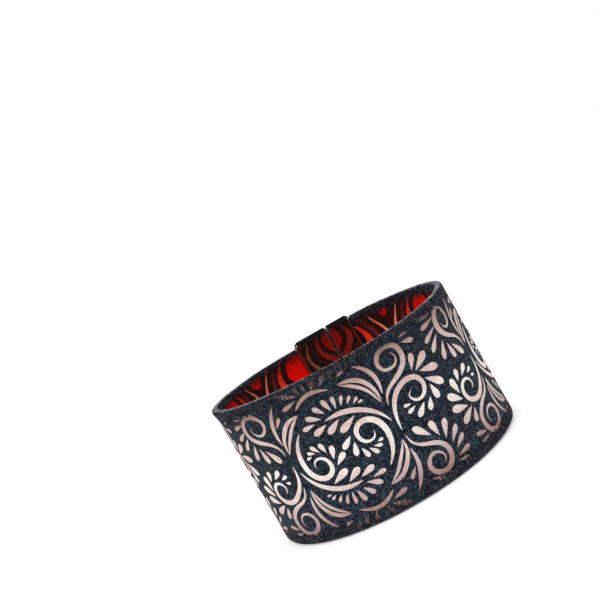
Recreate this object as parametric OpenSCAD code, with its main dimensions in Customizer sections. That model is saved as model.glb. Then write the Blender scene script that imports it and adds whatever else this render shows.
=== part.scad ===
// A reversible bracelet: two printed cloths back to back, overcast with thread
// along both rims and glued into the two halves of a polished clasp. It stands
// on its lower rim with the clasp at the back (+Y). The origin is at the middle
// of its foot print, on the surface it stands on.

/* [Band] */
// Width of the band from rim to rim
band_w = 38; // [30:1:50]
// Radius of the band's middle line, round the front and the sides
round_r = 32.4; // [32:0.1:36]
// Radius of the middle line where it turns towards the clasp
turn_r = 16; // [14:0.5:17]
// Where the round part ends on each side, as an angle from the back
turn_angle = 36; // [36:1:45]
// Thickness of each cloth
cloth_t = 1; // [0.8:0.1:1.5]
// Thickness of each cloth where the stitching presses it
pressed_t = 0.8; // [0.6:0.1:1.3]
// Space between the two cloths
cloth_gap = 0.1; // [0.05:0.05:0.3]

/* [Overcast edging] */
// How far the stitching reaches down each face from the rim
edging_w = 3.2; // [2:0.1:6]
// Thickness of the thread layer on a face
edging_t = 0.25; // [0.2:0.05:0.5]
// How far the edging stays off the cloth and off the clasp
edging_clear = 0.05; // [0.02:0.01:0.1]
// Height of the thread over the cut edges of the cloths
edging_cap = 0.8; // [0.7:0.05:1]
// Bevel along both sides of each rim
rim_bevel = 0.6; // [0.2:0.1:0.7]

/* [Clasp] */
// Height of the clasp, a little more than the band's width
clasp_h = 40; // [32:1:54]
// Thickness of the clasp, from its inner to its outer face
clasp_t = 4; // [3.6:0.1:6]
// Length of the longer half along the band
long_l = 10.5; // [8:0.1:11.4]
// Length of the shorter half along the band
short_l = 7.3; // [6.2:0.1:8.2]
// Gap at the parting of the two halves
parting_gap = 0.2; // [0.2:0.1:1.5]
// How far each half turns away from the straight line through both
clasp_tilt = 0; // [0:0.5:2]
// Rounding at the clasp's four corners, seen on its face
clasp_corner_r = 1.3; // [1.2:0.1:3]
// Rounding at the corners beside the parting
parting_corner_r = 0.8; // [0.3:0.1:1.5]
// Rounding along the clasp's outer edges
clasp_edge_r = 1; // [0.3:0.1:1.2]
// Rounding along the edges beside the parting
parting_edge_r = 0.3; // [0.2:0.1:0.5]
// How deep the band's end goes into its half
pocket_depth = 5; // [3:0.5:5.5]
// Room between the band's end and its pocket
pocket_clear = 0.1; // [0.05:0.05:0.2]

/* [Hidden] */
$fn = 180;

// The clasp is one bar, cut in two off its middle
clasp_half_l = (long_l + parting_gap + short_l) / 2;
long_inner_u = long_l - clasp_half_l;
short_inner_u = clasp_half_l - short_l;

// The middle line is round, with a tighter turn on each side that ends in the
// straight back, all tangent to one another
turn_centre = (round_r - turn_r) * [sin(turn_angle), cos(turn_angle), 0];
back_y = turn_centre[1] + turn_r;
cloth_end = clasp_half_l - pocket_depth + pocket_clear;
edging_end = clasp_half_l + clasp_t / 2 * sin(clasp_tilt) + 2 * edging_clear;

// Distances from the middle line to the faces, and heights from the middle
pressed_face = cloth_gap / 2 + pressed_t;
cloth_face = cloth_gap / 2 + cloth_t;
edging_face = pressed_face + edging_clear + edging_t;
rim_z = band_w / 2;
cloth_z = rim_z - edging_cap;
edging_foot_z = rim_z - edging_w;
pressed_z = edging_foot_z - edging_clear;
press_slope = 0.3;

// The clasp is higher than the band, so the bracelet leans on the clasp's
// inner lower edge and the front of its lower rim
rim_foot_r = round_r + edging_face - rim_bevel;
clasp_foot_y = back_y - clasp_half_l * sin(clasp_tilt) - clasp_t / 2 + clasp_edge_r;
clasp_foot_z = clasp_h / 2 - clasp_edge_r;
lean = asin((clasp_h / 2 - rim_z) / (rim_foot_r + clasp_foot_y));
lift = rim_foot_r * sin(lean) + rim_z * cos(lean);
front_reach = (round_r + edging_face) * cos(lean) + (rim_z - rim_bevel) * sin(lean);
back_reach = (back_y + clasp_t / 2) * cos(lean) + clasp_foot_z * sin(lean);

// Stands a piece of the upright band on the surface, leaning as it does
module standing() {
    translate([0, (front_reach - back_reach) / 2, lift])
        rotate([lean, 0, 0])
            children();
}

// Moves in a coarse and a fine step, so that arcs meet without a gap
module exactly_at(place) {
    coarse = [for (c = place) round(c * 100) / 100];
    translate(coarse)
        translate(place - coarse)
            children();
}

// Carries a section round the band: its x is the distance outwards from the
// middle line, its y the height. Both ends stop at end_x from the middle
module round_band(end_x) {
    rotate_extrude(angle = 360 - 2 * turn_angle, start = 90 + turn_angle)
        translate([round_r, 0])
            children();
    for (side = [0, 1])
        mirror([side, 0, 0])
            exactly_at(turn_centre) {
                rotate_extrude(angle = turn_angle, start = 90 - turn_angle)
                    translate([turn_r, 0])
                        children();
                translate([0, turn_r, 0])
                    rotate([90, 0, -90])
                        linear_extrude(turn_centre[0] - end_x)
                            mirror([1, 0])
                                children();
            }
}

// Section of the outer cloth, pressed thinner under the stitching at both rims
module cloth_section() {
    inner_face = cloth_gap / 2;
    polygon([
        [inner_face, -cloth_z],
        [pressed_face, -cloth_z],
        [pressed_face, -pressed_z],
        [cloth_face, -pressed_z + press_slope],
        [cloth_face, pressed_z - press_slope],
        [pressed_face, pressed_z],
        [pressed_face, cloth_z],
        [inner_face, cloth_z]
    ]);
}

// Section of the stitching over the upper rim: both faces and a bevelled top
module edging_section() {
    slot_x = pressed_face + edging_clear;
    slot_z = cloth_z + edging_clear;
    polygon([
        [edging_face, edging_foot_z],
        [edging_face, rim_z - rim_bevel],
        [edging_face - rim_bevel, rim_z],
        [-edging_face + rim_bevel, rim_z],
        [-edging_face, rim_z - rim_bevel],
        [-edging_face, edging_foot_z],
        [-slot_x, edging_foot_z],
        [-slot_x, slot_z],
        [slot_x, slot_z],
        [slot_x, edging_foot_z]
    ]);
}

// A rectangle along +X from the origin, with round corners: near_r at the
// origin's end and far_r at the other
module rounded_rectangle(length, height, near_r, far_r) {
    translate([near_r, -height / 2])
        square([length - near_r - far_r, height]);
    translate([0, near_r - height / 2])
        square([length - far_r, height - 2 * near_r]);
    translate([near_r, far_r - height / 2])
        square([length - near_r, height - 2 * far_r]);
    for (y = [-1, 1]) {
        translate([near_r, y * (height / 2 - near_r)])
            circle(r = near_r);
        translate([length - far_r, y * (height / 2 - far_r)])
            circle(r = far_r);
    }
}

// One half of the clasp along +X from inner_u to its mouth at clasp_half_l,
// turned forwards by clasp_tilt, with the pocket for the band's straight end
module clasp_half(inner_u) {
    length = clasp_half_l - inner_u;
    pocket_t = 2 * (edging_face + pocket_clear);
    pocket_h = band_w + 2 * pocket_clear;
    difference() {
        rotate([0, 0, -clasp_tilt])
            translate([inner_u, 0, 0])
                intersection() {
                    rotate([90, 0, 0])
                        linear_extrude(clasp_t, center = true)
                            rounded_rectangle(length, clasp_h, parting_corner_r, clasp_corner_r);
                    linear_extrude(clasp_h, center = true)
                        rounded_rectangle(length, clasp_t, parting_edge_r, clasp_edge_r);
                    translate([0, 0, -clasp_h / 2])
                        rotate([0, -90, 180])
                            linear_extrude(length)
                                rounded_rectangle(clasp_h, clasp_t, clasp_edge_r, clasp_edge_r);
                }
        translate([clasp_half_l - pocket_depth, -pocket_t / 2, -pocket_h / 2])
            cube([2 * pocket_depth, pocket_t, pocket_h]);
    }
}

// The cloth that shows on the outside, navy with scrolls
module outer_cloth() {
    color("#1b2b3f")
        standing()
            round_band(cloth_end)
                cloth_section();
}

// The cloth that shows on the inside, red with pointed drops
module inner_cloth() {
    color("#8e2214")
        standing()
            round_band(cloth_end)
                mirror([1, 0])
                    cloth_section();
}

// The overcast stitching over the upper rim, from one clasp mouth to the other
module top_edging() {
    color("#3b3f57")
        standing()
            round_band(edging_end)
                edging_section();
}

// The overcast stitching over the lower rim
module bottom_edging() {
    color("#3b3f57")
        standing()
            round_band(edging_end)
                mirror([0, 1])
                    edging_section();
}

// The longer clasp half, on the left seen from the front
module clasp_long_half() {
    color("silver")
        standing()
            translate([0, back_y, 0])
                mirror([1, 0, 0])
                    clasp_half(-long_inner_u);
}

// The shorter clasp half, on the right seen from the front
module clasp_short_half() {
    color("silver")
        standing()
            translate([0, back_y, 0])
                clasp_half(short_inner_u);
}

outer_cloth();
inner_cloth();
top_edging();
bottom_edging();
clasp_long_half();
clasp_short_half();
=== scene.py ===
"""A reversible cloth bracelet that stands on its rim: navy scroll print outside, red drop print inside.

The band is worked out in its own upright frame, in millimetres: s runs round the middle line from the
front, h is the height from mid-band and out is the distance outwards from the middle line. It then leans
as the solids do."""

import bpy
import numpy as np
from mathutils import Matrix


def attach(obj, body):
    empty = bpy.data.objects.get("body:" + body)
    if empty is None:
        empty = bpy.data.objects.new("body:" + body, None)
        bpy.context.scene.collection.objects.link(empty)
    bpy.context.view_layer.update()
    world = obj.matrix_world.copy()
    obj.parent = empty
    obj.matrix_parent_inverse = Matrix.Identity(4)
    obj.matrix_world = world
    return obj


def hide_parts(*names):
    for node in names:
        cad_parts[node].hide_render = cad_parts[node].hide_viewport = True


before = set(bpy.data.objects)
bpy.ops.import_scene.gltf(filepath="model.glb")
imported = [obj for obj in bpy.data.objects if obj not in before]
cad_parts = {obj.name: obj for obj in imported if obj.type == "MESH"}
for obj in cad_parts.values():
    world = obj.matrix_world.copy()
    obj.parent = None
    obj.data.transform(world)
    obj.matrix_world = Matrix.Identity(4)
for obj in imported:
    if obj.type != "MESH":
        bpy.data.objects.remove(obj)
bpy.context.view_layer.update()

MM = 0.001

# The band as the solids have it
ROUND_R = 32.4
TURN_R = 16.0
TURN_ANGLE = np.radians(36.0)
TURN_CENTRE = (ROUND_R - TURN_R) * np.array([np.sin(TURN_ANGLE), np.cos(TURN_ANGLE)])
ROUND_END = ROUND_R * (np.pi - TURN_ANGLE)
TURN_END = ROUND_END + TURN_R * TURN_ANGLE
MIDDLE_END = TURN_END + TURN_CENTRE[0]
BACK_Y = TURN_CENTRE[1] + TURN_R
LEAN = np.radians(0.9359738)
SHIFT_Y = 1.1360079
LIFT_Z = 19.5357063

# The clasp: its halves' lengths, and how much nearer to each other they are drawn at the parting
CLASP_LONG = 10.5
CLASP_SHORT = 7.3
LONG_CUT_BACK = 0.01
SHORT_DRAWN_ON = 0.19

# Half the clasp's length, height and thickness, its roundings and its pockets
CLASP_HALF_L = 9.0
CLASP_HALF_H = 20.0
CLASP_HALF_T = 2.0
CLASP_EDGE_R = 1.0
CLASP_CORNER_R = 1.3
PARTING_CORNER_R = 0.8
PARTING_EDGE_R = 0.3
POCKET_DEPTH = 5.0
POCKET_HALF_T = 1.25
POCKET_HALF_H = 19.1
POCKET_CORNER_R = 0.05
POCKET_ROOM = 0.1

# How far the clasp's mirror seems to lean back and each half's to turn. The long half's seems domed about
# a place along the clasp, in millimetres, with a radius in metres
MIRROR_LEAN = np.radians(1.7)
LONG_MIRROR_TURN = np.radians(0.1)
SHORT_MIRROR_TURN = np.radians(1.65)
LONG_MIRROR_MIDDLE = -3.75
LONG_MIRROR_DOME = 0.3

# The cloths: distances from the middle line, heights from mid-band and half the length
CLOTH_BACK = 0.05
CLOTH_FACE = 1.05
PRESSED_FACE = 0.85
CLOTH_TOP = 18.2
PRESSED_FROM = 15.75
CLOTH_END = MIDDLE_END - (CLASP_HALF_L - POCKET_DEPTH + POCKET_ROOM)

# The prints: how proud of the cloth they are and how far their edges go in, their upper edges and ends
INK_LIFT = 0.03
INK_SINK = 0.06
PRINT_TOP = CLOTH_TOP - 0.06
INNER_PRINT_TOP = 17.6
PRINT_END = CLOTH_END - 0.3
SHAPE_END = CLOTH_END - 0.4

# The stitches: half the length of the seam, their spacing, how far they drift along and where they arch
# over the rim
STITCH_END = MIDDLE_END - (CLASP_HALF_L + 0.12)
STITCH_PITCH = 0.42
STITCH_SLANT = 0.3
LONG_STITCH = 0.45
INNER_FOOT = 16.4
INNER_FOOT_FALL = 0.006
ARCH_FOOT = 17.85
ARCH_RISE = 1.0
ARCH_OUT = 0.96
ARCH_POWER = 0.65

# Width of one thread of the canvas
WEAVE_PITCH = 0.31

# How far the upper rim stands above its level place at a distance s round the band
RIM_RISE = [
    (-92, -0.3), (-85, -0.32), (-78, -0.12), (-70, -0.03), (-62, 0.14), (-52, 0.25), (-44, 0.2),
    (-32, 0.12), (-20, 0.08), (-14, -0.06), (-4, -0.25), (6, -0.42), (14, -0.48), (26, -0.42),
    (34, -0.34), (40, -0.12), (46, 0.0), (72, 0.02), (80, 0.12), (86, 0.32), (92, 0.44),
]
RISE_HEIGHTS = (14.5, 18.5)

# How far that rim flares at the left, and the heights between which the flare comes in
FLARE = 0.55
FLARE_AT = -50.0
FLARE_SPREAD = 9.0
FLARE_HEIGHTS = (16.0, 18.5)

# The prints' repeats along the band, the drop print's as drawn and as printed, and where motifs stand
SCROLL_REPEAT = 55.7
ROUND_MOTIF_AT = -7.5
DROP_CHART_REPEAT = 28.5
DROP_REPEAT = 31.4
DROP_AT = 3.3

# The line that the drops above and below share lies a little askew: its height at s = 0, and how much it
# falls for each millimetre from there
DROP_LINE = 0.65
DROP_LINE_FALL = 0.0079

# How much the small drops at the rims are grown at s = 0, and how much less for each millimetre more
RIM_DROP_GROWTH = 1.12
RIM_DROP_LESS = 0.0022


def middle_line(s):
    """Point and outward normal of the band's middle line at the distance s round it from the front.

    The normal has turned by s over the radius of the arc it is on, first the round part's, then the
    turn's, and is square to the back on the straight ends. The point is the arc's centre plus its radius
    along the normal, moved along the straight end by what is left of s. Left mirrors right."""
    side = np.where(s < 0, -1.0, 1.0)
    far = np.abs(s)
    on_round = far < ROUND_END
    turned = np.where(on_round, far / ROUND_R, np.pi - TURN_ANGLE + (far - ROUND_END) / TURN_R)
    turned = np.minimum(turned, np.pi)
    radius = np.where(on_round, ROUND_R, TURN_R)
    centre_x = np.where(on_round, 0.0, TURN_CENTRE[0])
    centre_y = np.where(on_round, 0.0, TURN_CENTRE[1])
    x = centre_x + radius * np.sin(turned) - np.maximum(far - TURN_END, 0.0)
    y = centre_y - radius * np.cos(turned)
    return side * x, y, side * np.sin(turned), -np.cos(turned)


def standing(x, y, h):
    """Point of the upright band, leant about the X axis by LEAN and lifted onto what it stands on."""
    lean_cos, lean_sin = np.cos(LEAN), np.sin(LEAN)
    return np.stack([x, y * lean_cos - h * lean_sin + SHIFT_Y, y * lean_sin + h * lean_cos + LIFT_Z], -1)


def eased(value, low, high):
    """Share that goes smoothly from 0 at low to 1 at high: 3 t^2 - 2 t^3, t being value's place there."""
    t = np.clip((value - low) / (high - low), 0, 1)
    return t * t * (3 - 2 * t)


def on_band(s, h, out):
    """Place in the CAD's frame, in millimetres: the middle line's point at s, moved by out and up by h.

    The upper rim isn't quite even: it rises or falls as RIM_RISE lists, all of that at the rim and less
    below it, and it flares outwards near FLARE_AT as a bell curve."""
    h = h + eased(h, *RISE_HEIGHTS) * np.interp(s, *np.array(RIM_RISE).T)
    bell = np.exp(-(((s - FLARE_AT) / FLARE_SPREAD) ** 2))
    out = out + eased(h, *FLARE_HEIGHTS) * FLARE * bell
    x, y, nx, ny = middle_line(s)
    return standing(x + out * nx, y + out * ny, h)


def ink_face(h):
    """Distance of the print from the middle line at height h: on the full cloth, and on the cloth pressed
    thinner under the stitches, a little proud of the slope between them."""
    heights = [15.0, 15.35, 15.8, 16.2]
    return np.interp(np.abs(h), heights, [CLOTH_FACE, 1.08, 0.92, PRESSED_FACE])


def add_piece(name, patches, materials, smooth):
    """One mesh from patches, each a grid of points in millimetres with the grid of its chart.

    A patch is its points, (rows, columns, 3), its chart, (rows, columns, 2), whether it is round, whether
    it is capped, and which of the materials it takes. A quad joins each point to the next in its row and
    its column. A round patch's last column joins its first. A capped one is closed by one face at each of
    its two end loops, where others are pinched to a point."""
    points, charts, corners, sizes, inks = [], [], [], [], []
    first = 0
    for grid, chart, is_round, capped, ink in patches:
        rows, columns = grid.shape[:2]
        number = first + np.arange(rows * columns).reshape(rows, columns)
        here = number if is_round else number[:, :-1]
        beside = np.roll(number, -1, axis=1) if is_round else number[:, 1:]
        quads = np.stack([here[:-1], here[1:], beside[1:], beside[:-1]], -1).reshape(-1, 4)
        corners.append(quads.ravel())
        sizes.append(np.full(len(quads), 4))
        inks.append(np.full(len(quads), ink))
        if capped:
            corners.append(np.concatenate([number[0], number[-1][::-1]]))
            sizes.append(np.array([columns, columns]))
            inks.append(np.array([ink, ink]))
        points.append(grid.reshape(-1, 3))
        charts.append(chart.reshape(-1, 2))
        first += rows * columns
    points = np.concatenate(points) * MM
    charts = np.concatenate(charts)
    corners = np.concatenate(corners)
    sizes = np.concatenate(sizes)
    mesh = bpy.data.meshes.new(name)
    mesh.vertices.add(len(points))
    mesh.vertices.foreach_set("co", points.ravel().astype(np.float32))
    mesh.loops.add(len(corners))
    mesh.loops.foreach_set("vertex_index", corners.astype(np.int32))
    mesh.polygons.add(len(sizes))
    mesh.polygons.foreach_set("loop_start", (np.cumsum(sizes) - sizes).astype(np.int32))
    mesh.polygons.foreach_set("material_index", np.concatenate(inks).astype(np.int32))
    mesh.polygons.foreach_set("use_smooth", np.full(len(sizes), smooth))
    mesh.uv_layers.new(name="band").data.foreach_set("uv", charts[corners].ravel().astype(np.float32))
    for material in materials:
        mesh.materials.append(material)
    mesh.update(calc_edges=True)
    mesh.validate()
    piece = bpy.data.objects.new(name, mesh)
    bpy.context.scene.collection.objects.link(piece)
    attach(piece, "root")
    return piece


# Shapes of the prints, drawn flat on (s, h)
def smooth_path(points, count):
    """count points at even distances along the smooth curve through the given ones.

    Each stretch is the cubic of a natural spline over chord length: its second derivatives at the given
    points solve the spline's three-term equations, and are nought at both ends."""
    p = np.array(points, float)
    t = np.concatenate([[0.0], np.cumsum(np.hypot(*np.diff(p, axis=0).T))])
    step = np.diff(t)
    inner = np.arange(1, len(p) - 1)
    system = np.eye(len(p))
    system[inner, inner - 1] = step[:-1]
    system[inner, inner] = 2 * (step[:-1] + step[1:])
    system[inner, inner + 1] = step[1:]
    known = np.zeros((len(p), 2))
    known[1:-1] = 6 * np.diff(np.diff(p, axis=0) / step[:, None], axis=0)
    bend = np.linalg.solve(system, known)
    fine = np.linspace(0, t[-1], 8 * count)
    k = np.clip(np.searchsorted(t, fine, side="right") - 1, 0, len(p) - 2)
    a = ((t[k + 1] - fine) / step[k])[:, None]
    b = 1 - a
    bulge = ((a**3 - a) * bend[k] + (b**3 - b) * bend[k + 1]) * step[k][:, None] ** 2 / 6
    curve = a * p[k] + b * p[k + 1] + bulge
    run = np.concatenate([[0.0], np.cumsum(np.hypot(*np.diff(curve, axis=0).T))])
    even = np.linspace(0, run[-1], count)
    return np.stack([np.interp(even, run, curve[:, 0]), np.interp(even, run, curve[:, 1])], -1)


def stroke(width, widest, points, count=56):
    """Brush stroke along the curve through the points: its width swells as a sine up to the share widest
    of its length and falls as a cosine after it, both to the power 0.7, pointed at both ends. The columns
    are its two edges and its middle."""
    line = smooth_path(points, count)
    along = np.linspace(0, 1, count)
    rise = np.sin(np.pi / 2 * np.minimum(along / widest, 1))
    fall = np.cos(np.pi / 2 * np.clip((along - widest) / (1 - widest), 0, 1))
    swell = (rise * fall).clip(0) ** 0.7
    ahead = np.gradient(line, axis=0)
    ahead /= np.linalg.norm(ahead, axis=1, keepdims=True)
    aside = np.stack([-ahead[:, 1], ahead[:, 0]], -1)
    across = np.array([-0.5, 0.0, 0.5])
    return line[:, None] + across[None, :, None] * (aside * (width * swell)[:, None])[:, None]


def leaves(table, count=15):
    """Leaflets, one row of the table each: blunt end, point and width.

    The half width is a quarter circle up to three tenths of the length, then falls as one minus the
    power 1.35 of what share of the rest is past."""
    table = np.array(table, float)
    start, end, width = table[:, None, :2], table[:, None, 2:4], table[:, 4]
    along = (1 - np.cos(np.linspace(0, np.pi, count))) / 2
    blunt = 0.3
    round_part = np.sqrt(1 - (1 - np.minimum(along / blunt, 1)) ** 2)
    tapered = 1 - (np.clip((along - blunt) / (1 - blunt), 0, 1)) ** 1.35
    swell = round_part * tapered
    line = start + (end - start) * along[None, :, None]
    ahead = (end - start)[:, 0] / np.linalg.norm((end - start)[:, 0], axis=1, keepdims=True)
    aside = np.stack([-ahead[:, 1], ahead[:, 0]], -1)
    across = np.array([-0.5, 0.0, 0.5])
    wide = (width[:, None] * swell[None, :])[:, :, None, None]
    return line[:, :, None] + across[None, None, :, None] * aside[:, None, None, :] * wide


def turned_round(shape, centre_s):
    """The shape turned by half a turn about the point at centre_s on the mid-height line."""
    return np.array([2 * centre_s, 0.0]) - shape


def inked(shape, outside, ink):
    """Patch of one printed shape on a face of the band: its top lies a little proud of the cloth, and its
    edges go down into it, so that it is a closed thin form."""
    shape = shape if outside else shape[:, ::-1]
    s = np.clip(shape[..., 0], -PRINT_END, PRINT_END)
    top = PRINT_TOP if outside else np.minimum(PRINT_TOP, INNER_PRINT_TOP - DROP_LINE_FALL * s)
    h = np.clip(shape[..., 1], -top, top)
    s = np.concatenate([s[:, :1], s, s[:, -1:]], axis=1)
    h = np.concatenate([h[:, :1], h, h[:, -1:]], axis=1)
    lift = np.full(s.shape[1], INK_LIFT)
    lift[[0, -1]] = -INK_SINK
    out = ink_face(h) + lift
    return on_band(s, h, out if outside else -out), np.stack([s, h], -1), True, False, ink


# The round motif with its two curls, half of it: the other half is the same, turned about (-7.5, 0). A
# stroke is its width, where it is widest and its points. A leaflet is its blunt end, its point and its
# width
ROUND_STROKES = [
    (1.35, 0.42, [(-0.2, -8), (1.6, -5.8), (2.75, -3), (2.95, -0.4), (2.3, 2), (0.8, 3.6), (-1.2, 4),
        (-2.8, 3), (-3.2, 1.4), (-2.5, -0.2), (-1.1, -0.8), (0.1, -0.3), (0.45, 1.1)]),
    (1.2, 0.35, [(-8, 8), (-3.75, 7.95), (0, 6.55), (2.5, 4.65), (4.05, 2.6), (5, 0.6)]),
    (1.0, 0.5, [(-12.75, 13), (-10.6, 14.5), (-8.4, 15.15), (-5.9, 14.8), (-3.7, 13.9)]),
    (1.05, 0.35, [(-1.6, 13.95), (0.6, 13.6), (2.8, 12.5), (4.4, 10.4), (5.1, 7.9), (5, 5.4)]),
    (0.8, 0.4, [(-1.5, 13.7), (0.3, 12.6), (2.5, 10.75), (3.9, 8.6), (4.8, 5.6)]),
    (1.05, 0.6, [(4.9, -4.1), (4.7, -6.75), (3.3, -9.25), (0.9, -11.3), (-2.2, -11.9)]),
    (0.8, 0.55, [(4.75, -4.3), (3.9, -5.9), (2.3, -8), (0.3, -10.2), (-1.9, -11.7)]),
    (1.0, 0.5, [(2.95, 16.1), (4.7, 14.5), (6.1, 12.3), (6.5, 9.8), (6.1, 7)]),
    (1.0, 0.5, [(5.4, -6.75), (5.6, -9.25), (5.2, -11.75), (4.05, -14.25), (2.5, -16.4)]),
]
ROUND_LEAVES = [
    (-13.6, 8.1, -10.3, 8.4, 1.15), (-11.7, 10.4, -8.4, 8.7, 1.3), (-9.1, 11.85, -7.1, 9.55, 1.25),
    (-6.4, 12.6, -5.5, 9.4, 1.2), (-4, 12.3, -4.3, 9.3, 1.0), (-2.0, 11.5, -3.1, 9.3, 0.85),
    (-0.4, 10.5, -1.8, 9.0, 0.75), (0.9, 9.4, -0.55, 8.5, 0.7), (1.6, 8.2, 0.3, 8.1, 0.6),
    (-11.7, 6.0, -8, 7.15, 1.5), (-8.6, 4.9, -5, 7, 1.6), (-6.0, 4.0, -1.55, 6.05, 1.7),
    (-7.4, 0.25, -4.5, 2.4, 1.4), (-5.5, -2.4, -4.5, 0.75, 1.35), (-3.05, -3.9, -3.75, -1.3, 1.15),
    (-0.8, -4.1, -2.3, -2.05, 1.0), (0.65, -2.9, -1.2, -2.2, 0.85), (1.4, -1.6, 0, -1.8, 0.7),
    (-17.4, 13.2, -19.4, 11.05, 0.95), (-15.5, 14.2, -11.8, 15.1, 1.1), (-14.9, 17.7, -10.9, 15.8, 1.3),
    (-10.7, 18.1, -9.8, 15.9, 1.0), (-8.8, 18.2, -8.6, 16.0, 0.9), (-6.2, 18.2, -7.1, 15.6, 1.1),
    (-3.1, 18.2, -5.0, 15.6, 1.15), (-1.5, 18.1, -2.4, 16.2, 0.9), (1.1, 16.3, -0.9, 15.6, 0.9),
]
# Between two round motifs
JOINING_STROKES = [
    (1.25, 0.4, [(5.9, 3.9), (6.55, 5.75), (8.1, 7.3), (10.3, 8.3), (12.5, 9.4), (14.05, 10.9),
        (14.5, 12.8), (13.9, 14.8), (12.2, 15.8), (10, 15.6), (8.6, 14.3), (8.3, 12.8), (9.05, 11.4),
        (10.8, 10.9), (12.3, 11.5), (12.8, 12.9), (11.8, 14.3)]),
    (1.25, 0.45, [(5.9, -2.5), (6.1, 0.1), (6.9, 2.9), (8.4, 5.1), (10.6, 6.5), (12.8, 6.8), (14.7, 6.05),
        (15.6, 4.2), (15, 2.3), (13.4, 1.4), (11.7, 2), (11.2, 3.4), (12.3, 4.25)]),
    (1.25, 0.5, [(5.9, -3.6), (6.4, -5.8), (7.8, -7.4), (10, -8.5), (12.2, -9.9), (13.2, -11.9),
        (12.7, -14.2), (10.6, -15.7), (8.4, -15.1), (7.3, -13.3), (7.8, -11.75), (9.2, -10.8),
        (10.8, -11.3), (11.6, -12.7), (10.8, -14.2)]),
    (1.25, 0.4, [(34.4, 4.0), (34.0, 6), (32.4, 7.7), (29.9, 8.9), (27.9, 9.9), (26.4, 11.4),
        (26.1, 13.4), (27.3, 15.3), (29.6, 16), (31.9, 15.1), (33.2, 13.4), (32.7, 11.7), (31.2, 10.8),
        (29.6, 11.1), (28.5, 12.2), (28.7, 13.6)]),
    (1.25, 0.45, [(34.6, 1.4), (34.5, -1.1), (33.6, -3.4), (31.6, -5.6), (29.4, -6.9), (27, -7.0),
        (25.1, -5.9), (24.5, -4.0), (25.3, -2.3), (26.9, -1.7), (28.5, -2.4), (28.9, -3.8),
        (27.9, -4.7)]),
    (1.25, 0.45, [(34.4, -4.2), (33.5, -6.2), (31.6, -7.7), (29.3, -8.5), (27.2, -9.7), (25.8, -11.4),
        (25.8, -13.8), (27.4, -15.7), (29.9, -15.9), (32, -14.6), (32.6, -12.8), (31.6, -11.1),
        (29.9, -10.7), (28.3, -11.5), (27.8, -13), (28.5, -14.1)]),
]
JOINING_LEAVES = [
    (16.6, 11.3, 14.7, 7.8, 1.5), (20.1, 9.8, 15.5, 7.2, 1.8), (21.5, 5.3, 16.3, 6.7, 1.9),
    (20.8, 1.3, 16.6, 4.7, 1.9), (17.5, -1.0, 17, 2.9, 1.7), (14.0, -2.25, 15.5, 0.45, 1.4),
    (10.8, -2.1, 13.6, 0.3, 1.4), (9, 0, 11.25, 0.65, 0.95), (8.8, 1.9, 10.6, 1.6, 0.8),
    (19.1, 13.6, 15.7, 14.6, 1.2), (18.6, 16.2, 15.8, 15.9, 0.9), (8, -3.3, 11.1, -7.05, 1.7),
    (12.2, -4.1, 12.8, -8.2, 1.6), (15.8, -5.5, 13.9, -9.6, 1.5), (17.8, -8.3, 14.75, -11.3, 1.3),
    (18.3, -11, 15, -13, 1.15), (18.4, -14.1, 14.5, -14.7, 1.15), (17, -16.4, 13.9, -15.75, 0.9),
    (9.4, -17.2, 6.3, -15.6, 0.9), (32.5, 3.1, 29.3, 6.9, 1.7), (28.5, 3.7, 27.7, 7.8, 1.6),
    (24.5, 5.1, 26.4, 9.1, 1.5), (22.2, 8.1, 25.3, 11.1, 1.3), (21.5, 10.9, 25.5, 12.8, 1.15),
    (22.2, 14, 26, 14.7, 1.15), (23.2, 16.4, 26.3, 15.9, 0.9), (25.7, 1.8, 24.7, -1, 1.5),
    (29.6, 1.4, 26.75, -0.6, 1.4), (31.3, -0.3, 29.1, -1.1, 0.95), (31.4, -2.4, 29.9, -2, 0.8),
    (22.6, 0.7, 23.3, -3.4, 1.8), (19.4, -2.1, 23.2, -4.9, 1.9), (18.8, -5.4, 23.6, -6.9, 1.9),
    (20, -9.7, 24.6, -7.5, 1.7), (23.6, -11.3, 25.2, -8.3, 1.4), (21.4, -13.6, 25, -14.5, 1.15),
    (22, -16.2, 25.5, -15.7, 0.9),
]

# Where the print came out a little askew on the cloth, round one curl at the upper right: the middle of
# each pull, how far it spreads along and up, and how far it moves the print along and up
PULLS = [
    (27.3, 14.0, 2.8, 4.4, 2.4, 0.25),
    (30.5, 16.0, 2.4, 2.0, 1.2, 0.2),
    (28.7, 12.9, 1.0, 1.5, -0.9, 0.0),
]


def pulled(shape):
    """The shape with each of the pulls added, less with the distance from its middle as a bell curve."""
    s, h = shape[..., 0], shape[..., 1]
    moved = shape
    for middle_s, middle_h, spread_s, spread_h, along, up in PULLS:
        near = np.exp(-(((s - middle_s) / spread_s) ** 2) - ((h - middle_h) / spread_h) ** 2)
        moved = moved + near[..., None] * np.array([along, up])
    return moved


def scroll_shapes():
    """The scroll print's shapes over the whole outer face: the round motif, its half turned copy and what
    joins them, moved along by the repeat."""
    half = [stroke(*one) for one in ROUND_STROKES] + list(leaves(ROUND_LEAVES))
    motif = half + [turned_round(one, ROUND_MOTIF_AT) for one in half]
    motif += [stroke(*one) for one in JOINING_STROKES] + list(leaves(JOINING_LEAVES))
    shapes = [pulled(one + np.array([k * SCROLL_REPEAT, 0.0])) for k in range(-3, 4) for one in motif]
    return [one for one in shapes if np.abs(one[..., 0]).min() < SHAPE_END]


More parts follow.
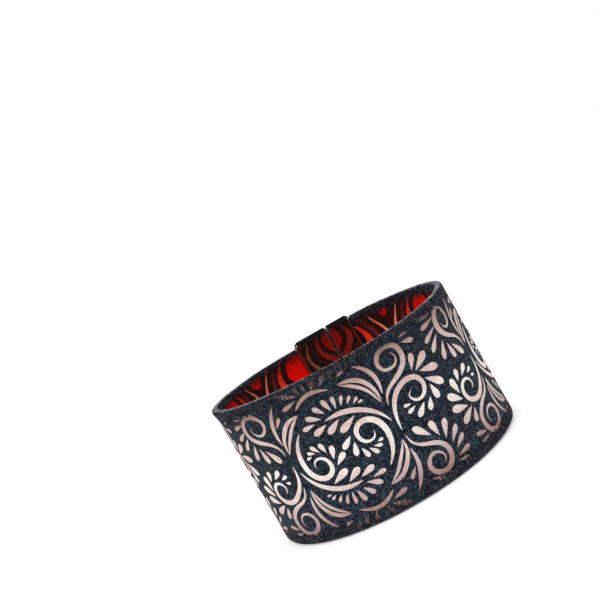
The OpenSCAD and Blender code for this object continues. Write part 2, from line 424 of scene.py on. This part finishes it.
# The drop print, drawn for one upright drop at s = 0, heights from the line that the drops above and
# below share: the edges of half a shape, from its foot up to its tip
DROP_EDGE = [
    (0, -17.4), (1.5, -16.75), (2.9, -15.3), (3.9, -13.3), (4.25, -11.5), (3.65, -9.8), (1.9, -8.0),
    (0, -6.1),
]
CORAL_OUTER = [
    (3.8, -17.3), (5.2, -16.0), (6.6, -14.2), (7.6, -12.1), (7.8, -10.2), (7, -7.9), (4.7, -5.4),
    (2.2, -3.2), (0, -1.5),
]
CORAL_INNER = [
    (3.7, -17.2), (4.9, -15.3), (5.8, -13.2), (6.1, -11.5), (5.9, -10.2), (4.9, -8.6), (2.6, -6.4),
    (0, -4.3),
]
MAUVE_OUTER = [
    (6.2, -17.6), (7.7, -15.8), (9.2, -13.3), (10.1, -11), (10.3, -9), (9.6, -6.9), (8, -4.9),
    (5.1, -2.7), (2.1, 0.1), (0, 2.8),
]
MAUVE_INNER = [
    (6.1, -17.5), (7, -15.6), (8.1, -13.2), (8.8, -11.2), (8.9, -9.2), (8, -7.2), (5.6, -4.9),
    (3.1, -2.9), (0, 0.1),
]
PEACH_LINE = [
    (5.5, 17.6), (3.8, 14.8), (2.4, 12.5), (1.55, 10.5), (1.35, 9), (1.7, 7.5), (2.5, 6), (4.4, 3.5),
    (6.3, 1.25), (8, -0.5), (9.9, -2.7), (11.2, -4.9), (11.9, -6.9), (12.1, -8.7), (12, -10.5),
    (11.5, -12.5), (10.7, -14.5), (9.5, -16.5), (8.4, -18),
]
PEACH_WIDTHS = [
    (0, 0.35), (0.08, 0.5), (0.17, 0.75), (0.26, 1.1), (0.45, 1.55), (0.62, 1.5), (0.75, 1.05),
    (0.9, 0.75), (1, 0.5),
]
RIM_DROP_EDGE = [(0, -18.4), (2.3, -18.3), (2.1, -17.2), (1.5, -15.8), (0.7, -14.8), (0, -14.5)]


def ruled(edge, other, columns):
    """Shape between two edges: straight lines join their points, which lie evenly along each."""
    part = np.linspace(0, 1, columns)[None, :, None]
    return edge[:, None] * (1 - part) + other[:, None] * part


def mirrored_band(outer, inner, count=33):
    """Pointed band over a drop between its two edges, from its left foot over its tip to its right."""
    outer, inner = smooth_path(outer, count), smooth_path(inner, count)
    flip = np.array([-1.0, 1.0])
    outer = np.concatenate([outer * flip, outer[-2::-1]])
    inner = np.concatenate([inner * flip, inner[-2::-1]])
    return ruled(inner, outer, 4)


def drop(edge, count=26):
    """Pointed drop: its half edge and the mirror image of that, joined straight across."""
    edge = smooth_path(edge, count)
    return ruled(edge * np.array([-1.0, 1.0]), edge, 9)[::-1]


def peach_line(side):
    """The wavy line beside a drop, on the given side: the curve through its points, with its widths."""
    count = 70
    line = smooth_path(PEACH_LINE, count)
    width = np.interp(np.linspace(0, 1, count), *np.array(PEACH_WIDTHS).T)
    ahead = np.gradient(line, axis=0)
    ahead /= np.linalg.norm(ahead, axis=1, keepdims=True)
    aside = np.stack([-ahead[:, 1], ahead[:, 0]], -1) * (width / 2)[:, None]
    shape = ruled(line - aside, line + aside, 3)
    return shape if side > 0 else (shape * np.array([-1.0, 1.0]))[:, ::-1]


def drop_shapes():
    """The drop print's shapes with their inks over the whole inner face: upright drops with their bands
    and lines, and the same drops and bands upside down half a repeat further on. The small drops at the
    rims show more of themselves towards the left, so they grow with the distance that way."""
    nest = [
        (drop(DROP_EDGE), 0),
        (mirrored_band(CORAL_OUTER, CORAL_INNER), 1),
        (mirrored_band(MAUVE_OUTER, MAUVE_INNER), 2),
    ]
    half = DROP_CHART_REPEAT / 2
    motif = [(turned_round(shape, 0), ink) for shape, ink in nest]
    motif += [(shape + np.array([half, 0.0]), ink) for shape, ink in nest]
    motif += [(peach_line(side) + np.array([half, 0.0]), 3) for side in (-1, 1)]
    placed = []
    rim_drop = drop(RIM_DROP_EDGE, 30)
    foot = rim_drop[-1:]
    for k in range(-8, 9):
        s = k * half * DROP_REPEAT / DROP_CHART_REPEAT + DROP_AT
        grown = foot + (rim_drop - foot) * (RIM_DROP_GROWTH - RIM_DROP_LESS * s)
        grown = grown if k % 2 == 0 else turned_round(grown, 0)
        placed.append((grown + np.array([s, DROP_LINE - DROP_LINE_FALL * s]), 0))
    for k in range(-4, 5):
        for shape, ink in motif:
            s = (shape[..., 0] + k * DROP_CHART_REPEAT) * DROP_REPEAT / DROP_CHART_REPEAT + DROP_AT
            placed.append((np.stack([s, shape[..., 1] + DROP_LINE - DROP_LINE_FALL * s], -1), ink))
    return [(shape, ink) for shape, ink in placed if np.abs(shape[..., 0]).min() < SHAPE_END]


# The band's cloths and stitches
def cloth_patch(outside):
    """One cloth as a closed wall: its section, flat on the back and pressed thinner near both rims,
    carried along the band from one end to the other."""
    section = [
        (CLOTH_BACK, -CLOTH_TOP), (PRESSED_FACE - 0.08, -CLOTH_TOP), (PRESSED_FACE, -CLOTH_TOP + 0.1),
        (PRESSED_FACE, -PRESSED_FROM - 0.1), (0.88, -PRESSED_FROM + 0.05), (1.02, -PRESSED_FROM + 0.27),
        (CLOTH_FACE, -PRESSED_FROM + 0.45),
    ]
    section = np.array(section + [(out, -h) for out, h in section[::-1]])
    s = np.linspace(-CLOTH_END, CLOTH_END, 521)
    out, h = section[:, 0], section[:, 1]
    order = slice(None) if outside else slice(None, None, -1)
    out, h = out[order], h[order]
    s, out, h = np.broadcast_arrays(s[:, None], out[None] * (1 if outside else -1), h[None])
    return on_band(s, h, out), np.stack([s, h], -1), True, True, 0


def rim_core_patch(up):
    """What the stitches are laid over at one rim: a narrow strip over the cut edges of both cloths."""
    half = [(0.9, 17.7), (0.96, 17.8), (0.95, 18.2), (0.75, 18.6), (0.4, 18.76)]
    inner = [(0.875, 18.27), (0.875, 17.7)]
    section = half + [(-out, h) for out, h in half[::-1]] + [(-out, h) for out, h in inner[::-1]] + inner
    way = 1 if up else -1
    section = np.array(section)[::way]
    s = np.linspace(-STITCH_END, STITCH_END, 421)
    s, out, h = np.broadcast_arrays(s[:, None], section[None, :, 0], section[None, :, 1] * way)
    return on_band(s, h, out), np.stack([s, h], -1), True, True, 0


def stitch_patches(up, seed):
    """Overcast stitches along one rim. Each is a thread of round section carried over the rim.

    Its path runs straight up one face, over the rim on a flattened half ellipse and down the other face,
    and drifts along the band by its slant. The feet's heights, the slants and the spacing are uneven, and
    every second foot is higher."""
    rng = np.random.default_rng(seed)
    rows, sides = 15, 6
    uneven = 0.22
    count = int(2 * STITCH_END / STITCH_PITCH)
    place = np.linspace(-STITCH_END + 0.25, STITCH_END - 0.25, count) + rng.uniform(-0.07, 0.07, count)
    higher = np.where(np.arange(count) % 2 == 0, 0.0, LONG_STITCH)
    outer_foot = PRESSED_FROM + higher + rng.normal(0, uneven, count)
    inner_foot = INNER_FOOT - INNER_FOOT_FALL * place + higher + rng.normal(0, uneven, count)
    slant = rng.normal(STITCH_SLANT, uneven, count)
    radius = rng.uniform(0.095, 0.125, count)
    arch = np.linspace(0, np.pi, rows - 6)
    arch_out = ARCH_OUT * np.sign(np.cos(arch)) * np.abs(np.cos(arch)) ** ARCH_POWER
    arch_h = ARCH_FOOT + ARCH_RISE * np.sin(arch) ** ARCH_POWER
    wide = np.ones(count)[:, None]
    legs = np.array([0.0, 0.12, 0.55])
    outer_h = outer_foot[:, None] + (ARCH_FOOT - outer_foot[:, None]) * legs
    inner_h = (inner_foot[:, None] + (ARCH_FOOT - inner_foot[:, None]) * legs)[:, ::-1]
    outer_out = wide * np.array([0.8, 0.94, ARCH_OUT])
    path_h = np.concatenate([outer_h, wide * arch_h, inner_h], 1)
    path_out = np.concatenate([outer_out, wide * arch_out, -outer_out[:, ::-1]], 1)
    run = np.hypot(np.diff(path_h, axis=1), np.diff(path_out, axis=1)).cumsum(1)
    run = np.concatenate([np.zeros((count, 1)), run], 1) / run[:, -1:]
    path_s = np.clip(place[:, None] + slant[:, None] * (run - 0.5), -STITCH_END, STITCH_END)
    path = np.stack([path_s, path_out, path_h], -1)
    ahead = np.gradient(path, axis=1)
    ahead /= np.linalg.norm(ahead, axis=2, keepdims=True)
    aside = np.cross(ahead, np.array([1.0, 0.0, 0.0]))
    aside /= np.linalg.norm(aside, axis=2, keepdims=True)
    third = np.cross(ahead, aside)
    turn = np.linspace(0, 2 * np.pi, sides, endpoint=False)
    thick = radius[:, None] * np.array([0.0] + [1.0] * (rows - 2) + [0.0])
    ring = aside[:, :, None] * np.cos(turn)[:, None] + third[:, :, None] * np.sin(turn)[:, None]
    skin = path[:, :, None] + ring * thick[:, :, None, None]
    skin = skin if up else skin[:, :, ::-1]
    s, out, h = skin[..., 0], skin[..., 1], skin[..., 2] * (1 if up else -1)
    points = on_band(s, h, out)
    charts = np.stack([s, h], -1)
    return [(grid, chart, True, False, 1) for grid, chart in zip(points, charts)]


# The clasp
def clasp_patch(side):
    """One half of the clasp as a closed skin: side -1 is the longer one at the left, 1 the shorter one.

    Its rows are loops round the bar, from the parting over the outside to the mouth and back down the
    pocket to its floor, and u is their distance from the parting. At a distance d from an end that is
    rounded with radius r, a loop is drawn in by r - sqrt(r^2 - (r - d)^2). A loop is a rectangle with
    round corners."""

    def drawn_in(distance, radius):
        return radius - np.sqrt(radius**2 - (radius - np.minimum(distance, radius)) ** 2)

    length = CLASP_LONG - LONG_CUT_BACK if side < 0 else CLASP_SHORT + SHORT_DRAWN_ON
    mouth, beside, corner_hold = 0.035, 0.1, 0.06  # how near to an edge or a corner its next loops lie
    bend = 1 - np.cos(np.linspace(0, np.pi / 2, 9))
    near = np.unique(np.concatenate([PARTING_CORNER_R * bend, PARTING_EDGE_R * bend]))
    far = np.unique(np.concatenate([CLASP_CORNER_R * bend, CLASP_EDGE_R * bend]))
    far = np.concatenate([[mouth, 0.05], far[far > 0.06]])
    flat = [PARTING_CORNER_R + beside, length - CLASP_CORNER_R - beside]
    u = np.concatenate([near, flat, length - far[::-1]])
    half_t = CLASP_HALF_T - drawn_in(u, PARTING_EDGE_R) - drawn_in(length - u, CLASP_EDGE_R)
    half_h = CLASP_HALF_H - drawn_in(u, PARTING_CORNER_R) - drawn_in(length - u, CLASP_CORNER_R)
    corner = np.minimum(CLASP_EDGE_R, half_t - POCKET_CORNER_R)
    floor_u = length - POCKET_DEPTH
    pocket = [length - mouth, length - beside, floor_u + beside, floor_u]
    u = np.concatenate([u, pocket])
    half_t = np.concatenate([half_t, np.full(len(pocket), POCKET_HALF_T)])
    half_h = np.concatenate([half_h, np.full(len(pocket), POCKET_HALF_H)])
    corner = np.concatenate([corner, np.full(len(pocket), POCKET_CORNER_R)])
    arc = np.linspace(0, np.pi / 2, 9)
    ring = []
    for quarter, (way_out, way_up) in enumerate([(1, 1), (-1, 1), (-1, -1), (1, -1)]):
        turn = arc + quarter * np.pi / 2
        across = way_out * (half_t - corner)[:, None] + corner[:, None] * np.cos(turn)
        high = way_up * (half_h - corner)[:, None] + corner[:, None] * np.sin(turn)
        before = corner_hold * np.array([np.sin(turn[0]), -np.cos(turn[0])])
        after = corner_hold * np.array([-np.sin(turn[-1]), np.cos(turn[-1])])
        across = np.concatenate([across[:, :1] + before[0], across, across[:, -1:] + after[0]], 1)
        high = np.concatenate([high[:, :1] + before[1], high, high[:, -1:] + after[1]], 1)
        ring.append((across, high))
    across = np.concatenate([one[0] for one in ring], 1)
    high = np.concatenate([one[1] for one in ring], 1)
    along = np.broadcast_to((CLASP_HALF_L - length + u)[:, None], across.shape)
    x = side * along
    y = BACK_Y + across
    if side < 0:
        x, y, high, along = x[:, ::-1], y[:, ::-1], high[:, ::-1], along[:, ::-1]
    from_end = np.minimum(along - CLASP_HALF_L + length, CLASP_HALF_L - along)
    return standing(x, y, high), np.stack([from_end, high], -1), True, True, 0


# Materials
def tint(red, green, blue):
    """Colour as the shader wants it from values on a screen: a share s of 255 up to 0.04045 becomes
    s / 12.92, and a larger one ((s + 0.055) / 1.055)^2.4."""
    share = np.array([red, green, blue]) / 255
    linear = np.where(share > 0.04045, ((share + 0.055) / 1.055) ** 2.4, share / 12.92)
    return (*linear.tolist(), 1.0)


class Recipe:
    """A material's nodes, added one at a time. A socket takes a number, a colour or a node's output."""

    def __init__(self, name):
        self.material = bpy.data.materials.new(name)
        self.material.use_nodes = True
        self.tree = self.material.node_tree
        self.shader = self.tree.nodes["Principled BSDF"]

    def set(self, socket, value):
        if isinstance(value, bpy.types.NodeSocket):
            self.tree.links.new(value, socket)
        else:
            socket.default_value = value

    def node(self, kind, output=0, inputs=(), **settings):
        made = self.tree.nodes.new(kind)
        for key, value in settings.items():
            setattr(made, key, value)
        for key, value in dict(inputs).items():
            self.set(made.inputs[key], value)
        return made.outputs[output]

    def maths(self, operation, *values):
        return self.node("ShaderNodeMath", 0, enumerate(values), operation=operation)

    def vector_maths(self, operation, *values, output=0):
        return self.node("ShaderNodeVectorMath", output, enumerate(values), operation=operation)

    def ranged(self, value, low, high, at_low, at_high):
        """The value's place between low and high, as a number between at_low and at_high."""
        return self.node("ShaderNodeMapRange", 0, enumerate((value, low, high, at_low, at_high)))

    def noise(self, place, scale, detail, roughness=0.5, output=0, dimensions="3D"):
        inputs = {"Vector": place, "Scale": scale, "Detail": detail, "Roughness": roughness}
        return self.node("ShaderNodeTexNoise", output, inputs, noise_dimensions=dimensions)

    def bump(self, height, distance, strength):
        inputs = {"Strength": strength, "Distance": distance, "Height": height}
        return self.node("ShaderNodeBump", 0, inputs)

    def mixed(self, share, one, other, blend="MIX"):
        kinds = {"data_type": "RGBA", "blend_type": blend, "clamp_factor": True}
        return self.node("ShaderNodeMix", 2, {0: share, 6: one, 7: other}, **kinds)

    def split(self, vector):
        """The vector's first two values."""
        parts = self.tree.nodes.new("ShaderNodeSeparateXYZ")
        self.set(parts.inputs[0], vector)
        return parts.outputs[0], parts.outputs[1]

    def finish(self, **sockets):
        """The material, with the shader's sockets set. A socket's spaces are written as underscores."""
        for key, value in sockets.items():
            self.set(self.shader.inputs[key.replace("_", " ")], value)
        return self.material


def canvas_weave(recipe, pitch=WEAVE_PITCH):
    """Plain weave on the band's chart, s along the band and h up it.

    A thread stands up as the sine of its width and waves over and under as a sine along it, turned round
    from one thread to the next: up = 0.6 |sin(pi s / p)| + 0.4 sin(pi (h / p + column)) for the threads
    that run up the band, and the same with s and h changed about for those along it. The higher one
    shows. Returns the chart, that height, whether the thread that runs up shows, one random value for
    each crossing and soft unevenness."""
    chart = recipe.node("ShaderNodeUVMap", uv_map="band")
    drift = recipe.noise(chart, 0.35, 2.0, output=1, dimensions="2D")
    drift = recipe.vector_maths("MULTIPLY", drift, (0.35, 0.35, 0.0))
    moved = recipe.vector_maths("ADD", chart, drift)
    counted = recipe.vector_maths("MULTIPLY", moved, (1 / pitch, 1 / pitch, 0.0))
    whole = recipe.vector_maths("FLOOR", counted)
    s, h = recipe.split(counted)
    column, row = recipe.split(whole)
    threads = []
    for across, along, number in ((s, h, column), (h, s, recipe.maths("ADD", row, 1.0))):
        width = recipe.maths("ABSOLUTE", recipe.maths("SINE", recipe.maths("MULTIPLY", across, np.pi)))
        wave = recipe.maths("SINE", recipe.maths("MULTIPLY", recipe.maths("ADD", along, number), np.pi))
        threads.append(recipe.maths("MULTIPLY_ADD", wave, 0.4, recipe.maths("MULTIPLY", width, 0.6)))
    height = recipe.maths("MAXIMUM", *threads)
    upright = recipe.maths("GREATER_THAN", *threads)
    random = recipe.node("ShaderNodeTexWhiteNoise", 0, {"Vector": whole}, noise_dimensions="2D")
    uneven = recipe.noise(chart, 0.4, 5.0, roughness=0.6, dimensions="2D")
    return chart, height, upright, random, uneven


def speckled(recipe, height, upright, random, uneven, dark, cool, warm, level=0.0):
    """Colour of mixed yarns: dark between the threads, lighter on top of them, most of all where the
    thread that runs up shows, the light cool here and warm there, and each crossing a shade of its own.
    The darkening between the threads is painted shade in the weave's hollows. There is a little less of
    the light yarn towards the upper rim and a little more towards the lower, as level, the height on the
    band, tells: painted shade and painted light that even out how the light falls on the band."""
    light = recipe.mixed(recipe.ranged(uneven, 0.4, 0.6, 0.0, 1.0), cool, warm)
    # Painted shade in the weave's hollows: the light yarn shows less where the thread lies low
    weave_shade = recipe.ranged(height, 0.35, 0.95, 0.25, 1.0)
    yarn_and_shade = recipe.maths("MULTIPLY", weave_shade, recipe.maths("MULTIPLY_ADD", upright, 0.75, 0.25))
    share = recipe.maths("MULTIPLY", recipe.maths("POWER", random, 1.8), yarn_and_shade)
    # Painted shade towards the upper rim and painted light towards the lower, evening out how the light
    # falls on the band
    share = recipe.maths("MULTIPLY", share, recipe.maths("MULTIPLY_ADD", level, -0.012, 1.0))
    colour = recipe.mixed(share, dark, light)
    return recipe.mixed(0.22, colour, random.node.outputs["Color"], "OVERLAY")


def canvas(name, dark, cool, warm, roughness):
    """Printed canvas in mixed yarns, whose weave stands out a little."""
    recipe = Recipe(name)
    chart, height, upright, random, uneven = canvas_weave(recipe)
    # The height on the band, which speckled turns into painted shade towards the upper rim and painted
    # light towards the lower
    level = recipe.split(chart)[1]
    colour = speckled(recipe, height, upright, random, uneven, dark, cool, warm, level)
    bump = recipe.bump(height, 0.05 * MM, 0.6)
    return recipe.finish(Base_Color=colour, Roughness=roughness, Normal=bump, Specular_IOR_Level=0.12)


# The light ink's colour at heights on the band: copper at both rims, rose and then cream at mid-height
INK_STOPS = [
    (-17.5, (141, 113, 98)), (-15, (179, 134, 124)), (-12.5, (198, 165, 160)), (-10, (213, 190, 185)),
    (-7, (236, 214, 207)), (-4, (251, 236, 226)), (-1, (255, 252, 243)), (2, (254, 243, 234)),
    (5, (227, 199, 191)), (9, (223, 200, 192)), (11.5, (211, 185, 175)), (14, (179, 143, 132)),
    (17.5, (137, 111, 98)),
]
INK_RANGE = 19.0


def scroll_ink(name):
    """Rose and cream ink whose colour goes with the height on the band, the chart's second value, as
    INK_STOPS lists. It thins a little between the threads."""
    recipe = Recipe(name)
    chart, height, upright, random, uneven = canvas_weave(recipe)
    wander = recipe.maths("MULTIPLY_ADD", uneven, 5.0, -2.5)
    level = recipe.maths("ADD", recipe.split(chart)[1], wander)
    level = recipe.ranged(level, -INK_RANGE, INK_RANGE, 0.0, 1.0)
    ramp = recipe.tree.nodes.new("ShaderNodeValToRGB")
    elements = ramp.color_ramp.elements
    for k, (stop_h, colour) in enumerate(INK_STOPS):
        place = (stop_h + INK_RANGE) / (2 * INK_RANGE)
        stop = elements[k] if k < 2 else elements.new(place)
        stop.position = place
        stop.color = tint(*colour)
    recipe.set(ramp.inputs[0], level)
    worn = recipe.ranged(height, 0.35, 0.8, 0.45, 0.0)
    worn = recipe.maths("ADD", worn, recipe.maths("MULTIPLY", recipe.maths("POWER", random, 2.5), 0.25))
    worn = recipe.maths("ADD", worn, recipe.maths("MULTIPLY", upright, 0.16))
    colour = recipe.mixed(worn, ramp.outputs[0], tint(84, 62, 70))
    colour = recipe.mixed(0.12, colour, random.node.outputs["Color"], "OVERLAY")
    bump = recipe.bump(height, 0.06 * MM, 0.5)
    return recipe.finish(
        Base_Color=colour, Roughness=0.6, Normal=bump, Specular_IOR_Level=0.2, Sheen_Weight=0.5,
        Sheen_Roughness=0.35,
    )


def drop_ink(name, colour, deep):
    """One ink of the drop print, deeper between the threads and at some crossings, dark at the rims."""
    recipe = Recipe(name)
    chart, height, _, random, uneven = canvas_weave(recipe)
    worn = recipe.ranged(height, 0.35, 0.8, 0.6, 0.0)
    worn = recipe.maths("ADD", worn, recipe.maths("MULTIPLY", random, 0.4))
    colour = recipe.mixed(worn, colour, deep)
    level = recipe.maths("MULTIPLY_ADD", uneven, 5.0, recipe.maths("ABSOLUTE", recipe.split(chart)[1]))
    dim = recipe.ranged(level, 14.2, 19.5, 0.0, 0.8)
    colour = recipe.mixed(dim, colour, tint(56, 5, 4))
    bump = recipe.bump(height, 0.06 * MM, 0.5)
    return recipe.finish(Base_Color=colour, Roughness=0.7, Normal=bump, Specular_IOR_Level=0.05)


def thread(name, dark, cool, warm):
    """Overcast thread: speckled along each stitch as mixed yarn is, with fine twist lines across it, and
    paler where it bends over the upper rim, a painted highlight, which the chart's second value, the
    height, tells."""
    recipe = Recipe(name)
    chart, _, upright, random, uneven = canvas_weave(recipe, STITCH_PITCH)
    colour = speckled(recipe, 0.75, upright, random, uneven, dark, cool, warm)
    level = recipe.split(chart)[1]
    # Painted highlight where the thread bends over the upper rim, stronger at some crossings than at
    # others
    bend = recipe.ranged(level, 18.72, 18.88, 0.0, 1.0)
    bend = recipe.maths("MULTIPLY", bend, recipe.maths("MULTIPLY_ADD", random, 0.9, 0.1))
    colour = recipe.mixed(bend, colour, tint(148, 140, 148))
    place = recipe.node("ShaderNodeTexCoord", 3)
    twist = recipe.noise(place, 6000.0, 1.0)
    bump = recipe.bump(twist, 0.03 * MM, 0.5)
    return recipe.finish(Base_Color=colour, Roughness=0.6, Normal=bump, Specular_IOR_Level=0.15)


def polished_metal(name, turn, middle=0.0, dome=0.0):
    """Mirror polished clasp with the faintest unevenness of polish, darkened at a half's very ends as
    painted shade for the dark groove at the parting and at the mouth, and with a fine matt line beside
    that. The chart's first value, the distance from the nearer end, tells where. Its bump is a slope that
    falls with the height and to the right, so it mirrors the front of the band as if it leant back and
    were turned a little. Where dome is given it also mirrors as a face domed with that radius, in metres,
    about the place middle along the clasp."""
    groove_shade_end = 0.26
    matt_line, matt_half_width = 0.36, 0.08
    recipe = Recipe(name)
    place = recipe.node("ShaderNodeTexCoord", 3)
    haze = recipe.noise(place, 400.0, 4.0)
    from_end = recipe.split(recipe.node("ShaderNodeUVMap", uv_map="band"))[0]
    matt = recipe.maths("MULTIPLY", recipe.maths("COMPARE", from_end, matt_line, matt_half_width), 0.5)
    rough = recipe.ranged(haze, 0.3, 0.7, 0.02, 0.07)
    slopes = (-float(np.tan(turn)), 0.0, -float(np.tan(MIRROR_LEAN)))
    slope = recipe.vector_maths("DOT_PRODUCT", place, slopes, output=1)
    slope = recipe.maths("MULTIPLY_ADD", haze, 0.008 * MM, slope)
    if dome:
        from_middle = recipe.maths("ADD", recipe.split(place)[0], -middle * MM)
        square = recipe.maths("MULTIPLY", from_middle, from_middle)
        slope = recipe.maths("MULTIPLY_ADD", square, -0.5 / dome, slope)
    bump = recipe.bump(slope, 1.0, 1.0)
    # Painted shade at a half's very ends, for the dark groove at the parting and at the mouth
    groove_shade = recipe.maths("LESS_THAN", from_end, groove_shade_end)
    colour = recipe.mixed(groove_shade, tint(153, 150, 156), tint(50, 48, 46))
    roughness = recipe.maths("ADD", rough, matt)
    return recipe.finish(Base_Color=colour, Metallic=0.985, Roughness=roughness, Normal=bump)


navy_canvas = canvas(
    "navy canvas", dark=tint(3, 11, 20), cool=tint(74, 102, 118), warm=tint(83, 89, 110), roughness=0.75
)
maroon_canvas = canvas(
    "maroon canvas", dark=tint(26, 6, 6), cool=tint(112, 22, 14), warm=tint(90, 20, 16), roughness=0.75
)
scroll_material = scroll_ink("rose and cream ink")
drop_inks = [
    drop_ink("drop red ink", tint(250, 14, 2), tint(214, 4, 0)),
    drop_ink("coral ink", tint(244, 64, 36), tint(200, 34, 18)),
    drop_ink("mauve ink", tint(116, 46, 42), tint(80, 26, 24)),
    drop_ink("peach ink", tint(255, 156, 108), tint(220, 98, 56)),
]
rim_material = canvas(
    "rim canvas", dark=tint(14, 17, 22), cool=tint(72, 80, 90), warm=tint(80, 72, 84), roughness=0.8
)
thread_material = thread(
    "overcast thread", dark=tint(16, 20, 26), cool=tint(92, 108, 122), warm=tint(104, 98, 112)
)
long_half_metal = polished_metal(
    "polished metal of the long half", LONG_MIRROR_TURN, LONG_MIRROR_MIDDLE, LONG_MIRROR_DOME
)
short_half_metal = polished_metal("polished metal of the short half", SHORT_MIRROR_TURN)

# The pieces
outer_cloth = add_piece("outer_cloth_canvas", [cloth_patch(True)], [navy_canvas], smooth=False)
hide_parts("outer_cloth")
inner_cloth = add_piece("inner_cloth_canvas", [cloth_patch(False)], [maroon_canvas], smooth=False)
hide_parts("inner_cloth")
scroll_print = add_piece(
    "scroll_print", [inked(shape, True, 0) for shape in scroll_shapes()], [scroll_material], smooth=False
)
drop_print = add_piece(
    "drop_print", [inked(shape, False, ink) for shape, ink in drop_shapes()], drop_inks, smooth=False
)
for name, up, seed in (("top_edging", True, 11), ("bottom_edging", False, 29)):
    patches = [rim_core_patch(up)] + stitch_patches(up, seed)
    edging = add_piece(name + "_stitches", patches, [rim_material, thread_material], smooth=True)
    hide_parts(name)
clasp_halves = (("clasp_long_half", -1, long_half_metal), ("clasp_short_half", 1, short_half_metal))
for name, side, metal in clasp_halves:
    half = add_piece(name + "_polished", [clasp_patch(side)], [metal], smooth=True)
    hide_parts(name)


# Floor, lights and camera
def room_part(name, grid, material):
    """Part of the room from a grid of points in metres, (rows, columns, 3), a quad between each four."""
    rows, columns = grid.shape[:2]
    number = np.arange(rows * columns).reshape(rows, columns)
    quads = np.stack([number[:-1, :-1], number[1:, :-1], number[1:, 1:], number[:-1, 1:]], -1)
    part = bpy.data.objects.new(name, bpy.data.meshes.new(name))
    part.data.from_pydata(grid.reshape(-1, 3).tolist(), [], quads.reshape(-1, 4).tolist())
    part.data.materials.append(material)
    bpy.context.scene.collection.objects.link(part)
    return part


def floor_material():
    """Plain pale floor that turns clear far from the bracelet, so that no edge of it shows."""
    recipe = Recipe("pale floor")
    place = recipe.node("ShaderNodeTexCoord", 3)
    far = recipe.vector_maths("LENGTH", place, output=1)
    clear = recipe.ranged(far, 0.14, 0.45, 1.0, 0.0)
    return recipe.finish(
        Base_Color=(0.93, 0.93, 0.93, 1.0), Roughness=0.9, Specular_IOR_Level=0.1, Alpha=clear,
        Emission_Color=(1.0, 1.0, 1.0, 1.0), Emission_Strength=0.25,
    )


# The floor is a disc of rings
FLOOR_R = 0.6
ring, angle = np.meshgrid(np.linspace(0, FLOOR_R, 24), np.linspace(0, 2 * np.pi, 73), indexing="ij")
disc = np.stack([ring * np.cos(angle), ring * np.sin(angle), 0 * ring], -1)
floor = room_part("floor", disc, floor_material())

world = bpy.data.worlds.new("pale room")
bpy.context.scene.world = world
world.use_nodes = True
background = world.node_tree.nodes["Background"]
background.inputs["Color"].default_value = (1.0, 1.0, 1.0, 1.0)
background.inputs["Strength"].default_value = 1.0

# A dark tent over the camera's side of the room, seen only in polished metal and gloss: an arch about the
# X axis that starts below the floor in front, runs over the top and ends at the back, 7 degrees above it
TENT_R = 0.75
TENT_HALF_WIDTH = 1.0
arch, arch_x = np.meshgrid(
    np.radians(np.linspace(-12, 173, 30)), np.array([-TENT_HALF_WIDTH, TENT_HALF_WIDTH]), indexing="ij"
)
skin = np.stack([arch_x, -TENT_R * np.cos(arch), TENT_R * np.sin(arch)], -1)
tent_cloth = Recipe("dark tent cloth").finish(Base_Color=(0.004, 0.004, 0.004, 1.0), Roughness=1.0)
tent = room_part("dark tent", skin, tent_cloth)
tent.visible_camera = False
tent.visible_diffuse = False
tent.visible_shadow = False


def soft_light(name, place, aim, size, power):
    """Square soft light at place, turned towards aim, in metres, with its power in watts."""
    light = bpy.data.objects.new(name, bpy.data.lights.new(name, "AREA"))
    light.data.size = size
    light.data.energy = power
    back = np.array(place, float) - np.array(aim, float)
    back /= np.linalg.norm(back)
    right = np.cross([0.0, 0.0, 1.0], back)
    right /= np.linalg.norm(right)
    up = np.cross(back, right)
    turn = np.eye(4)
    turn[:3, 0], turn[:3, 1], turn[:3, 2], turn[:3, 3] = right, up, back, place
    light.matrix_world = Matrix(turn.tolist())
    bpy.context.scene.collection.objects.link(light)
    return light


mid_band = (0, 0, 0.02)
soft_light("key light", (-0.34, -0.42, 0.45), mid_band, 0.35, 0.95)
top_light = soft_light("top light", (0.05, 0.05, 0.6), mid_band, 0.3, 0.8)
top_light.visible_glossy = False

# The camera stands in front and a little above, turned about its own axis as the photograph is. Its place
# is in millimetres, and its axes are square to each other
camera_place = np.array([5.3217, -246.0591, 64.799])
camera = bpy.data.objects.new("camera", bpy.data.cameras.new("camera"))
camera.data.sensor_width = 36.0
camera.data.lens = 57.681
camera.data.clip_start = 0.01
camera_right = np.array([0.86721, -0.007432, -0.497886])
camera_up = np.array([0.497472, 0.056348, 0.865648])
camera_ahead = np.cross(camera_up, camera_right)
pose = np.eye(4)
pose[:3, 0], pose[:3, 1], pose[:3, 2] = camera_right, camera_up, -camera_ahead
pose[:3, 3] = camera_place * MM
camera.matrix_world = Matrix(pose.tolist())
bpy.context.scene.collection.objects.link(camera)
bpy.context.scene.camera = camera
bpy.context.scene.view_settings.view_transform = "Standard"
